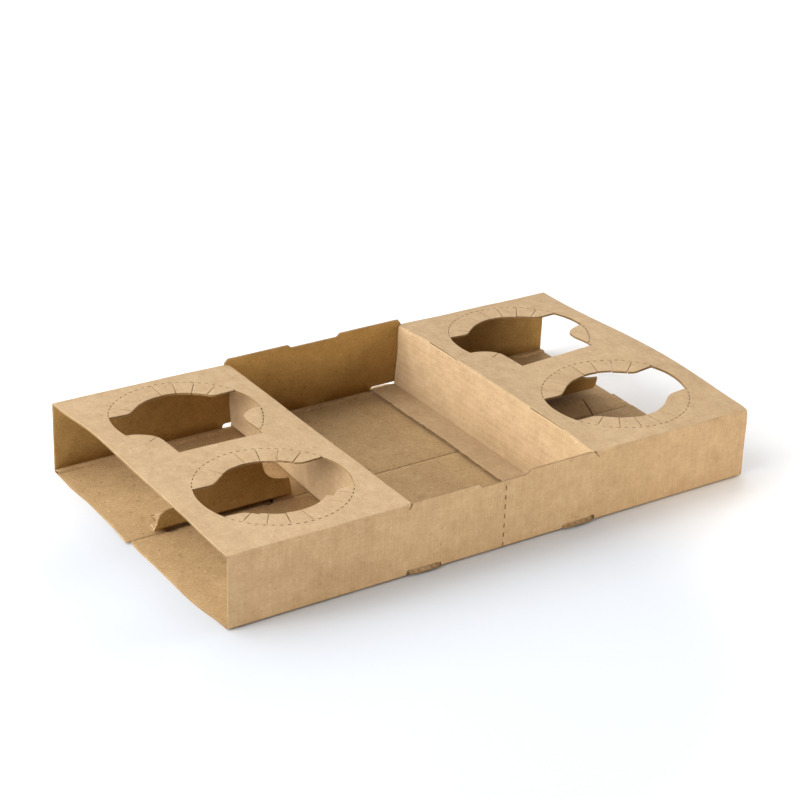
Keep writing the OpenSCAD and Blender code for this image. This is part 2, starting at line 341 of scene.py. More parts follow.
# ---------------------------------------------------------------- how the real board bows
def warp(X):
    """Small bows and sags of the folded tray, the same field for every piece, so that neighbours stay joined."""
    x, y, z = X[:, 0], X[:, 1], X[:, 2]
    up = np.clip(z / 44, 0, 1.15)
    across = np.cos(np.pi * np.clip(y, -W2, W2) / (2 * W2)) ** 2
    # the right deck is domed most near the front of its open end
    lean = np.clip(y, -W2, W2)
    across_r = np.cos(np.pi * (lean + 28 * (1 - (lean / W2) ** 2)) / (2 * W2)) ** 2
    dz = up ** 2 * across_r * 3.5 * smooth((x - 78) / 102) ** 1.1
    # the left one less, and towards its rear
    dz += up ** 2 * (2.3 * bump(y, 42, 45) + bump(y, -28, 50)) * np.clip((-x - 65) / 115, 0, 1) ** 1.5
    dz += up ** 2 * 0.25 * np.sin(x / 23.0 + 0.6) * np.sin(y / 31.0 + 1.1) * across
    # the rear right corner hangs a little, the rear left one stands up
    dz += up ** 2 * smooth((y - 15) / 85) * (0.9 * smooth((-x - 55) / 60) - 1.3 * smooth((x - 60) / 60))
    # the four perforated circles aren't quite where they were drawn
    dx, dy, sum_w = np.zeros(len(x)), np.zeros(len(x)), np.zeros(len(x))
    for sx, cy, mx, my in ((-1, CUP_F, 1.8, -1.0), (-1, CUP_R, 1.1, -0.5), (1, CUP_F, -0.2, -2.0), (1, CUP_R, 1.3, 1.5)):
        w = smooth(1 - (np.hypot(x - sx * CUP_X, y - cy) - 46) / 14)
        dx, dy, sum_w = dx + w * mx, dy + w * my, sum_w + w
    k = smooth(up) / np.maximum(sum_w, 1)
    dx, dy = dx * k, dy * k
    # the right partition's fold swings towards the well near its ends, and stands up between them
    top = smooth((z - 22) / 22)
    dx -= 1.9 * top * bump(x, 64, 9) * smooth((abs(y) - 70) / 28)
    # the left one's fold lies nearer to the well, and its foot drifts away from it towards the front
    dx += 2.0 * smooth((z - 14) / 24) * bump(x, -64, 14)
    dx -= 3.3 * smooth((80 - y) / 90) * bump(x, -61.5, 6) * smooth((z - 1.9) / 0.5) * smooth((32 - z) / 27) * smooth((98 - abs(y)) / 12)
    # the necks of the rear holes are cut wider on their right
    for sx in (-CUP_X, CUP_X):
        dx += 2.3 * bump(x, sx + 28, 7) * smooth((y - 7) / 5) * smooth((44 - y) / 12) * smooth((z - 18) / 22)
    # the rear left end stands out, and the floor there reaches further
    dx -= 2.0 * smooth((-x - 120) / 60) * smooth((y - 55) / 45)
    dx -= (2.7 - 1.2 * bump(y, 50, 40) + 0.8 * bump(y, -4, 14)) * smooth((-x - 110) / 70) * smooth((8 - z) / 6) * smooth((100 - abs(y)) / 30)
    dx += 0.7 * smooth((-x - 168) / 12) * smooth((z - 30) / 12) * smooth((85 - abs(y)) / 30)
    dz += 0.7 * smooth((z - 38) / 6) * bump(x, 65, 6) * smooth((88 - abs(y)) / 20)
    # rounded front corner at the right open end
    q = smooth((x - 120) / 60) * (np.clip((-y - 97) / 7.5, 0, 1) * np.clip((z - 37.5) / 7.5, 0, 1)) ** 2
    dz -= 1.1 * q
    dy += 1.1 * q
    # the flanges' front ends are pulled down in their slots
    dz -= 0.8 * smooth((z - 1.5) / 0.7) * (1 - smooth((z - 4.0) / 3)) * smooth((-y - 90) / 12) * smooth((66 - abs(x)) / 5) * smooth((abs(x) - 40) / 4)
    low = np.clip(1 - z / 9, 0, 1)
    dz -= low * across ** 0.5 * (0.45 * smooth((-x - 95) / 85) + 0.30 * smooth((x - 110) / 70))
    dy += (0.35 * np.sin(np.pi * np.clip(z, 0, 45) / 45) * np.sin(x / 47.0 + 0.4)) * np.sign(y) * smooth((abs(y) - 96) / 7)
    return np.stack([x + dx, y + dy, z + dz], 1)


# ---------------------------------------------------------------- materials
def kraft(name, tone, grain, specks, flute):
    m = bpy.data.materials.new(name)
    m.use_nodes = True
    t = m.node_tree
    t.nodes.clear()
    N, K = t.nodes.new, t.links.new

    def node(kind, **kw):
        n = N(kind)
        for k, v in kw.items():
            setattr(n, k, v)
        return n

    def math_(op, a, b=None, clamp=False):
        n = node("ShaderNodeMath", operation=op, use_clamp=clamp)
        for i, x in enumerate((a, b)):
            if x is None:
                continue
            if isinstance(x, (int, float)):
                n.inputs[i].default_value = x
            else:
                K(x, n.inputs[i])
        return n.outputs[0]

    uv = node("ShaderNodeUVMap", uv_map="blank")

    def noise(scale, stretch=(1, 1, 1), detail=3.0, rough=0.55, seed=0.0):
        mp = node("ShaderNodeMapping")
        mp.inputs["Scale"].default_value = [scale * s for s in stretch]
        mp.inputs["Location"].default_value = (seed, seed * 1.7, seed * 0.3)
        K(uv.outputs[0], mp.inputs[0])
        n = node("ShaderNodeTexNoise")
        n.inputs["Scale"].default_value = 1.0
        n.inputs["Detail"].default_value = detail
        n.inputs["Roughness"].default_value = rough
        K(mp.outputs[0], n.inputs["Vector"])
        return n.outputs[0]

    def signed(x, amount):
        return math_("MULTIPLY", math_("SUBTRACT", x, 0.5), amount)

    def power(x, e):
        return math_("POWER", math_("MAXIMUM", x, 0.0), e)

    sep = node("ShaderNodeSeparateXYZ")
    K(uv.outputs[0], sep.inputs[0])
    wobble = signed(noise(18, (1, 2, 1), 2, seed=3.1), 1.2)
    phase = math_("ADD", math_("MULTIPLY", sep.outputs[0], 2 * math.pi * 1000 / PITCH), wobble)
    # the liner is stuck to the tips of the flutes: a soft wave, and a thin broken line at every tip
    wave = math_("SINE", phase)
    tips = power(math_("SINE", math_("MULTIPLY", phase, 2)), 7)
    broken = math_("MULTIPLY", math_("SUBTRACT", noise(75, (5, 1.6, 1), 2, 0.6, seed=8.3), 0.42), 5.0, True)
    patchy = math_("MULTIPLY", math_("SUBTRACT", noise(24, (1, 1.3, 1), 2, seed=7.7), 0.30), 2.2, True)
    lines = math_("MULTIPLY", math_("MULTIPLY", tips, broken), patchy)

    cloud = noise(16, (1.3, 1, 1), 3, 0.6, seed=1.3)
    mottle = noise(110, (1.25, 1, 1), 3, 0.6, seed=4.7)
    streak = noise(150, (1, 4.5, 1), 3, 0.6, seed=5.2)
    fibre = noise(800, (1.6, 1, 1), 3, 0.7, seed=9.4)

    def flecks(scale, size, rare, seed):
        mp = node("ShaderNodeMapping")
        mp.inputs["Scale"].default_value = (scale, scale * 0.75, 1)
        mp.inputs["Location"].default_value = (seed, seed * 2.1, 0)
        K(uv.outputs[0], mp.inputs[0])
        v = node("ShaderNodeTexVoronoi", feature="F1")
        v.inputs["Scale"].default_value = 1.0
        K(mp.outputs[0], v.inputs["Vector"])
        near = math_("SUBTRACT", 1.0, math_("MULTIPLY", v.outputs["Distance"], 1 / size), True)
        sp = node("ShaderNodeSeparateXYZ")
        K(v.outputs["Color"], sp.inputs[0])
        return math_("MULTIPLY", near, math_("GREATER_THAN", sp.outputs[0], rare))

    dark = math_("MULTIPLY", flecks(420, 0.42, 0.90, 2.2), -specks * 1.6)
    pale = math_("MULTIPLY", flecks(380, 0.40, 0.93, 6.6), specks * 1.5)

    tone_of = math_("ADD", signed(cloud, 0.19), signed(mottle, 0.30))
    tone_of = math_("ADD", tone_of, math_("ADD", signed(fibre, grain), signed(streak, 0.14)))
    tone_of = math_("ADD", tone_of, math_("MULTIPLY", lines, -0.30 * flute))
    tone_of = math_("ADD", tone_of, math_("MULTIPLY", wave, 0.018 * flute))
    tone_of = math_("ADD", tone_of, math_("ADD", dark, pale))
    value = math_("ADD", tone_of, 0.5, True)
    ramp = node("ShaderNodeValToRGB")
    c = ramp.color_ramp
    c.elements[0].position, c.elements[1].position = 0.0, 1.0
    c.elements[0].color = (tone[0] * 0.36, tone[1] * 0.29, tone[2] * 0.20, 1)
    c.elements[1].color = (min(1, tone[0] * 1.60), min(1, tone[1] * 1.72), min(1, tone[2] * 2.05), 1)
    mid = c.elements.new(0.5)
    mid.color = (*tone, 1)
    K(value, ramp.inputs[0])

    high = math_("ADD", math_("MULTIPLY", wave, 0.006 * flute), signed(fibre, 0.06))
    high = math_("ADD", high, math_("MULTIPLY", lines, -0.05 * flute))
    high = math_("ADD", high, signed(streak, 0.03))
    high = math_("ADD", high, signed(mottle, 0.10))
    b = node("ShaderNodeBump")
    b.inputs["Strength"].default_value = 1.0
    b.inputs["Distance"].default_value = 0.001
    K(high, b.inputs["Height"])
    p = node("ShaderNodeBsdfPrincipled")
    p.inputs["Specular IOR Level"].default_value = 0.22
    rough = math_("ADD", signed(fibre, 0.16), 0.86)
    K(ramp.outputs[0], p.inputs["Base Color"])
    K(rough, p.inputs["Roughness"])
    K(b.outputs[0], p.inputs["Normal"])
    out = node("ShaderNodeOutputMaterial")
    K(p.outputs[0], out.inputs[0])
    return m


MATS["outer"] = kraft("kraft_outer", (0.500, 0.347, 0.194), 0.42, 0.10, 0.35)
MATS["upright"] = kraft("kraft_upright", (0.500, 0.347, 0.194), 0.36, 0.08, 1.0)
MATS["wall"] = kraft("kraft_wall", (0.500, 0.347, 0.194), 0.36, 0.08, 0.6)
MATS["inner"] = kraft("kraft_inner", (0.475, 0.312, 0.150), 0.85, 0.20, 0.0)
# painted shade: a darker, more saturated copy of the inner liner for the inner faces of the walls and dividers, which
# stand in the shade of the holes and the well
MATS["inner_painted_shade"] = kraft("kraft_inner_painted_shade", (0.400, 0.243, 0.080), 0.80, 0.16, 0.0)
MATS["core"] = kraft("kraft_core", (0.360, 0.228, 0.102), 0.24, 0.06, 0.0)
MATS["edge"] = kraft("kraft_edge", (0.470, 0.318, 0.165), 0.40, 0.10, 0.0)

# ---------------------------------------------------------------- sleeve
V_LOW = RO - RM * math.pi / 2            # where the arc of a bottom corner ends, on the blank
V_TOP = H - RO + RM * math.pi / 2        # and of a top corner
FLAT_Y = W2 - RO


def wall_at(s):
    """Places the board of a wall: upright, bent round at the bottom into the floor and at the top into the decks."""
    held = lambda U: np.where((U < 0) & (s > 0), 68.4, 66.2)

    def at(U, V, h):
        a = np.where(V < RO, (RO - V) / RM, 0.0)
        # the free top edge over the well stays upright
        b = np.where((V > H - RO) & (abs(U) > held(U)), (V - (H - RO)) / RM, 0.0)
        k = np.where(h < 0, 1 - 0.35 * np.sin(2 * np.clip(a + b, 0, math.pi / 2)), 1.0)
        # the crease is pressed in a little where the wall turns into the deck
        h = h - np.where(abs(U) > held(U), 0.34 * bump(V, H - RO - 0.7, 0.75), 0.0) * (0.75 + 0.25 * np.sin(U * 0.9) * np.sin(U * 0.37))
        r = RM + h * k
        y = np.where(a > 0, FLAT_Y + r * np.cos(a), np.where(b > 0, FLAT_Y + r * np.cos(b), FLAT_Y + RM + h))
        z = np.where(a > 0, RO - r * np.sin(a), np.where(b > 0, H - RO + r * np.sin(b), V))
        return np.stack([U, s * y, z], 1)

    return at


def step(x0, z0, x1, z1, n=6):
    return [(x0 + (x1 - x0) * i / n, z0 + (z1 - z0) * (1 - math.cos(math.pi * i / n)) / 2) for i in range(n + 1)]


SLOTS = [[(s * 42.5, -3), (s * 42.5, 3.3), (s * 43.1, 4.3), (s * 44.4, 4.7), (s * 64.2, 4.7), (s * 65.5, 4.3),
          (s * 66.1, 3.3), (s * 66.1, -3)] for s in (-1, 1)]


def dashes_v(v0, v1, pitch, long, x=0.0, wide=0.42, shift=0.0):
    out, v = [], v0
    while v < v1:
        out.append([(x - wide / 2, v), (x + wide / 2, v + 0.1), (x + wide / 2 - 0.05, v + long - 0.1), (x, v + long),
                    (x - wide / 2 + 0.04, v + long - 0.15)])
        v += pitch
    return out


def add_wall(name, s, outline, relief, body):
    piece = Board(name)
    slots = [[(x - 1.4 * (s > 0) * (x < -60), z - 0.8 * (s < 0) * (z > 0)) for x, z in l] for l in SLOTS]
    loops = [densify(outline, 9)] + slots + (dashes_v(0.6, 42.0, 6.1, 2.9, wide=0.8) if s < 0 else dashes_v(4, 40, 6.1, 2.9, wide=0.1)) + relief
    keep = lambda P: inside(loops[0], P) & ~np.any([inside(l, P) for l in loops[1:]], 0)
    free = lambda M: ((M[:, 1] > V_LOW + 0.05) | (abs(abs(M[:, 0]) - 54.3) < 12)) & ~(
        (M[:, 1] > V_TOP - 0.05) & (abs(M[:, 0]) > 66.2))
    rows = [V_LOW + (RO - V_LOW) * i / 4 for i in range(5)] + [H - RO + (V_TOP - H + RO) * i / 4 for i in range(5)]
    rows += [H - RO - 0.3 - 0.4 * i for i in range(5)]
    lines = [[(-L2 - 1, v), (L2 + 1, v)] for v in rows]
    # the walls' inner faces take the painted-shade copy of the inner liner
    board(piece, keep, loops, wall_at(s), free=free, grid=(12, 11), extra=lines, uv0=(0, s * -150), skin="wall",
          back="inner_painted_shade")
    return piece.done([name], body)


top_f = [(L2, V_LOW), (L2, V_TOP), (66.3, V_TOP), (66.4, 43.8), (67.2, 42.6), (68.4, 41.5), (68.1, 41.3), (66.8, 42.3), (65.9, 43.5),
         (65.4, 44.7), (63.9, 45.1), (62.9, 45.6)]
top_f += step(18, 45.6, 13.5, 43.0) + step(-16.5, 43.0, -19.5, 45.6)
top_f += [(-63.2, 45.6), (-64.6, 45.2), (-65.5, 44.4), (-66.4, 42.9), (-67.6, 41.9), (-67.9, 42.1), (-66.9, 43.2), (-66.3, 44.2), (-66.3, V_TOP),
          (-L2, V_TOP), (-L2, V_LOW)]
add_wall("front_wall", -1, [np.array(p) for p in top_f], [], "sleeve")
top_r = [(L2, V_LOW), (L2, V_TOP), (67.3, V_TOP), (67.3, 43.5), (66.8, 42.9), (66.4, 43.6), (66.3, 45.6), (64.2, 48.4)]
top_r += step(18.6, 48.4, 15.4, 46.2) + step(-17.6, 46.2, -20.4, 48.4)
top_r += [(-65.4, 48.4), (-67.6, 45.8), (-67.7, 43.6), (-68.1, 42.9), (-68.5, 43.5), (-68.5, V_TOP), (-L2, V_TOP), (-L2, V_LOW)]
add_wall("rear_wall", 1, [np.array(p) for p in top_r], [], "sleeve")


def lap_slot(s):
    if s < 0:
        # the left one has opened, with hooked ends
        return [(s * CUP_X + x, y) for x, y in ((-27.5, 4), (-29.2, 3.2), (-32.6, 3.0), (-35, 4.6), (-36.0, 8), (-35.9, 25),
                                                (35.9, 25), (35.6, 9), (34.2, 5.0), (32, 3.2), (29.4, 3.0), (27.5, 4))]
    return [(s * CUP_X - 28, 4), (s * CUP_X + 28, 4), (s * CUP_X + 35.9, 25), (s * CUP_X - 35.9, 25)]


def lap_edge(M):
    """The cut edges of the right floor flap that lie tight."""
    return (M[:, 0] > 60) & (M[:, 0] < CUP_X + 20) & (M[:, 1] > 3.9) & (M[:, 1] < 25.1)


def floor_at(mid):
    """Places the floor's board, outer liner down, at the height that mid gives for each y."""
    return lambda U, V, h: np.stack([U, V, np.interp(V, *mid) - h], 1)


def add_floor():
    piece = Board("floor_front_panel")
    edge = densify([(-L2, -FLAT_Y), (L2, -FLAT_Y), (L2, -60), (L2 + 1.8, 24.5), (-L2 + 1.8, 24.5), (-L2, -60)], 12)
    slots = [lap_slot(-1), lap_slot(1)]
    loops = [edge] + slots + dashes_v(-100, 4, 7.8, 3.6, wide=0.12)
    keep = lambda P: inside(edge, P) & ~np.any([inside(l, P) for l in loops[1:]], 0)
    thick = lambda U, V: np.interp(V, [4.5, 5.1], [T, LAP])
    free = lambda M: (M[:, 1] > -FLAT_Y + 0.05) & ~lap_edge(M)
    board(piece, keep, loops, floor_at(([4.5, 5.1], [T / 2, LAP / 2])), free=free, thick=thick, uv0=(0, 40),
          extra=[[(-190, 4.5), (190, 4.5)], [(-190, 5.1), (190, 5.1)]])
    piece.done(["floor_front_panel"], "sleeve")

    piece = Board("floor_rear_panel")
    edge = densify([(-L2 - 1.8, 6.2), (-L2 - 1.4, 5.0), (L2 - 2.4, 5.0), (L2 - 1.8, 5.8), (L2, 60), (L2, FLAT_Y), (-L2, FLAT_Y), (-L2, 60)], 12)
    loops = [edge] + slots + dashes_v(30, 100, 7.8, 3.6, wide=0.12)
    keep2 = lambda P: inside(edge, P) & ~np.any([inside(l, P) for l in loops[1:]], 0)
    thick = lambda U, V: np.interp(V, [5, 9, 30, 44], [0.36, LAP, LAP, T])
    free = lambda M: (M[:, 1] < FLAT_Y - 0.05) & ~lap_edge(M)
    # next to the wall the inner liner stands up in a bead along the crease
    mid = floor_at(([5, 9, 26, 50], [LAP + 0.19, 1.5 * LAP, 1.5 * LAP, T / 2]))

    def beaded(U, V, h):
        X = mid(U, V, h)
        high = 1.25 - 0.8 * smooth((15 - abs(abs(U) - 54.3)) / 4)
        X[:, 2] += np.where(h < 0, high * smooth((V - 98.2) / 0.9) * (1 - 0.35 * smooth((V - 99.2) / 3.5)) - 0.3 * bump(V, 97.9, 0.4), 0.0)
        return X

    rows = [[(-190, v), (190, v)] for v in (97.2, 97.6, 97.9, 98.2, 98.5, 98.8, 99.1, 99.6, 100.4, 101.2, 102.0, 102.8)]
    board(piece, keep2, loops, beaded, free=free, thick=thick, uv0=(0, 40), extra=rows + [[(-190, 7), (190, 7)], [(-190, 9), (190, 9)]],
          medium=(mid, lambda P: keep2(P) & (P[:, 1] < 96.8)))
    piece.done(["floor_rear_panel"], "sleeve")


add_floor()


def dash_ring(c, a0, a1, r=R_FOLD, wide=0.62, long=2.1, pitch=360 / 63):
    """Cuts of a perforated circle, as thin outlines."""
    out, half = [], math.degrees(long / 2 / r)
    for i in range(int(math.ceil(a0 / pitch)), int(math.floor(a1 / pitch)) + 1):
        a = i * pitch
        out.append([np.array(c) + pol(r + w, a + d * half) for w, d in
                    ((-wide / 2, -0.85), (wide / 2, -1), (wide / 2, 0.9), (0, 1.05), (-wide / 2, 1))])
    return out


RING_CUTS = [(RING0 + 0.4, 180 - RING0 - 0.4), (180 + RING0 + 0.4, 360 - RING0 - 0.4)]
NECK_CUTS = [(180 + 11.5, 233), (-53, -11.5)]


def add_deck(side):
    s = SIDES[side]
    piece = Board("deck_" + side)
    u0, u1 = sorted((s * (FOLD_X + CR), s * L2))
    edge = densify(rect(u0, u1, -FLAT_Y, FLAT_Y), 14)
    cf, cr = (s * CUP_X, CUP_F), (s * CUP_X, CUP_R)
    front = arc(R_FOLD, 0, 358, 3.0, cf)
    a = math.degrees(math.acos(NECK / 2 / R_FOLD))
    rear = arc(R_FOLD, -a, 180 + a, 3.0, cr) + [np.array(cr) + np.array(p) for p in
                                                 ((-NECK / 2, NECK_V - 0.8), (NECK / 2, NECK_V - 0.8))]
    cuts = [front, rear]
    for c, spans in ((cf, RING_CUTS), (cr, RING_CUTS[:1] + NECK_CUTS)):
        for a0, a1 in spans:
            neck = (a0, a1) in NECK_CUTS
            cuts += dash_ring(c, a0, a1 - (5.5 if side == "left" and c is cf and a0 > 180 else 0),
                              wide=(0.15 if a0 > 0 else 0.8) if neck else 0.62)
    loops = [edge] + cuts
    keep = lambda P: inside(edge, P) & ~np.any([inside(l, P) for l in cuts], 0)
    def free(M):
        joined = (abs(abs(M[:, 1]) - FLAT_Y) < 0.05) | (abs(abs(M[:, 0]) - FOLD_X - CR) < 0.05)
        joined |= (abs(M[:, 1] - CUP_R - NECK_V + 0.8) < 0.05) & (abs(M[:, 0] - s * CUP_X) < NECK / 2)
        for c in (cf, cr):
            joined |= abs(np.linalg.norm(M - np.array(c), axis=1) - R_FOLD) < 0.4
        return ~joined
    # painted shade, in part: the edges of the holes take the darker core colour, as they lie in shade; only the open
    # end's edge keeps the pale liner
    board(piece, keep, loops, flat((0, 0, MID), (1, 0, 0), (0, 1, 0), (0, 0, 1)), free=free, grid=(10, 10), rings=(0.4, 0.9),
          dim=lambda M: abs(M[:, 0]) < L2 - 0.3)
    piece.done(["deck_" + side], "sleeve")


for side in SIDES:
    add_deck(side)


# ---------------------------------------------------------------- cup tabs
EAR_LOW = {"frontleft8": 4.2, "frontleft5": 1.5}       # two ends of the left front hole are cut further down


def tab_pair(side, row, i):
    """Two neighbouring tabs, joined by the uncut band next to the perforated circle that they fold along."""
    s, cy = SIDES[side], (CUP_F if row == "front" else CUP_R)
    cx = s * CUP_X
    neck = row == "rear" and i > 4
    if neck:
        q, mx, my = 1, (-1 if i == 5 else 1), 1
    else:
        p = 9 - i if i > 4 else i
        q, mx, my = (1 if p in (1, 4) else 2), (-1 if p > 2 else 1), (-1 if i > 4 else 1)
    place = lambda pts: [np.array([cx + mx * x, cy + my * y]) for x, y in pts]
    turn = lambda a: (a if mx > 0 else 180 - a) * my
    rnd = np.random.default_rng(sum(ord(c) for c in side + row) * 31 + i)
    k = 0.05
    if neck:
        a0, a1, slit = -58.0, -11.6, -31.5
        outer = arc(R_FOLD, a0 - 4, a1 + 6, 2.4)
        wedge = place([(0, 0)] + arc(60, a0, a1 + 14, 9))
        cut = place([(0, 60), (0, -60), (NECK / 2 + 0.16, -60)] + shoulder(0.16) + [(60, SHOULDER_V - 0.16), (60, 60)])
        ring = place(arc(R_FOLD, 0, 358, 3))
        solid = [ring, wedge]
        cuts = [cut]
        mid = turn(-32.2)
    else:
        a0 = RING0 + (q - 1) * 2 * TAB
        a1, slit = a0 + 2 * TAB, a0 + TAB
        b0 = a0 - (3 if q == 1 else 0)
        body = place(arc(R_FOLD, b0, a1, 2.4) + arc(R_CUP, a1, b0, 2.4))
        solid = [body]
        cuts = []
        if q == 1:
            low = EAR_LOW.get(row + side + str(i), 0.0)
            cuts.append(place([(0, 0), (60, 0)] + ring_end(0.16 + low)))
        mid = turn(a0 + TAB)
    rs = R_FOLD - 1.1 - 0.5 * rnd.random()
    # the slits that run along the flutes have opened, those across them lie tight
    gape = lambda a: 0.09 + 0.15 * smooth((abs(math.cos(rad(turn(a) - 52))) - 0.60) / 0.30)
    wide = float(gape(slit)) * (0.9 + 0.3 * rnd.random())

    def slot(a, r0, r1, w):
        u, n = pol(1, a), pol(1, a + 90)
        return place([u * r0 - n * w, u * r0 + n * w, u * (r1 - 0.4) + n * w * 0.8, u * r1, u * (r1 - 0.4) - n * w * 0.8])

    cuts.append(slot(slit, 24, rs - (2.0 if neck else 0), wide))
    if not neck:
        ends = [a1] + ([a0] if q == 2 else [])
        for a in ends:
            cuts.append(slot(a, 24, rs, float(gape(a))))
            cuts.append(slot(a, 24, R_FOLD + 2, 0.04))
    if neck:
        near = [turn(x) for x in (a0, a1)]
        for d in dash_ring((cx, cy), min(near) - 2, max(near) + 2, wide=0.15 if i == 5 else 0.8):
            cuts.append(d)
    else:
        near = sorted([turn(a0) % 360, turn(a1) % 360])
        for d in dash_ring((cx, cy), near[0] + (0.4 if q == 2 else 0), near[1]):
            cuts.append(d)
    loops = solid + cuts
    keep = lambda P: np.all([inside(l, P) for l in solid], 0) & ~np.any([inside(l, P) for l in cuts], 0)
    u, n = pol(1, mid), pol(1, mid + 90)
    lines = [[np.array([cx, cy]) + u * r - n * 17, np.array([cx, cy]) + u * r + n * 17] for r in (43.5, 43.1, 42.7, 42.3, 41.9)]
    c = np.array([cx, cy])
    free = lambda M: np.linalg.norm(M - c, axis=1) < R_FOLD - 0.4
    # each tab has its own slight droop inside the fold
    dip = [0.12 + 0.55 * rnd.random(), 0.12 + 0.55 * rnd.random()]
    cross = lambda P: (P[:, 0] - cx) * pol(1, turn(slit))[1] - (P[:, 1] - cy) * pol(1, turn(slit))[0]
    base = flat((0, 0, MID), (1, 0, 0), (0, 1, 0), (0, 0, 1))

    def at(U, V, h):
        X = base(U, V, h)
        P = np.stack([U, V], 1)
        r = np.linalg.norm(P - c, axis=1)
        d = np.where(cross(P) > 0, dip[0], dip[1]) * smooth((43.2 - r) / 14) * 1.2
        if neck:
            d = d + {"left5": 0.2, "left6": 0.3, "right5": 0.2, "right6": 0.5}[side + str(i)] * smooth((43.5 - r) / 9)
        X[:, 2] -= d
        return X

    name = f"tabs_{row}_{side}_{i}"
    piece = Board(name)
    # painted shade, in part: every cut edge of the tabs takes the darker core colour, as they lie in the shade of the
    # holes
    board(piece, keep, loops, at, free=free, grid=(7, 7), rings=(0.4, 0.9), extra=lines,
          dim=lambda M: np.ones(len(M), bool))
    ob = piece.done([name])
    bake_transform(ob)


for side in SIDES:
    for i in range(1, 9):
        tab_pair(side, "front", i)
    for i in range(1, 7):
        tab_pair(side, "rear", i)


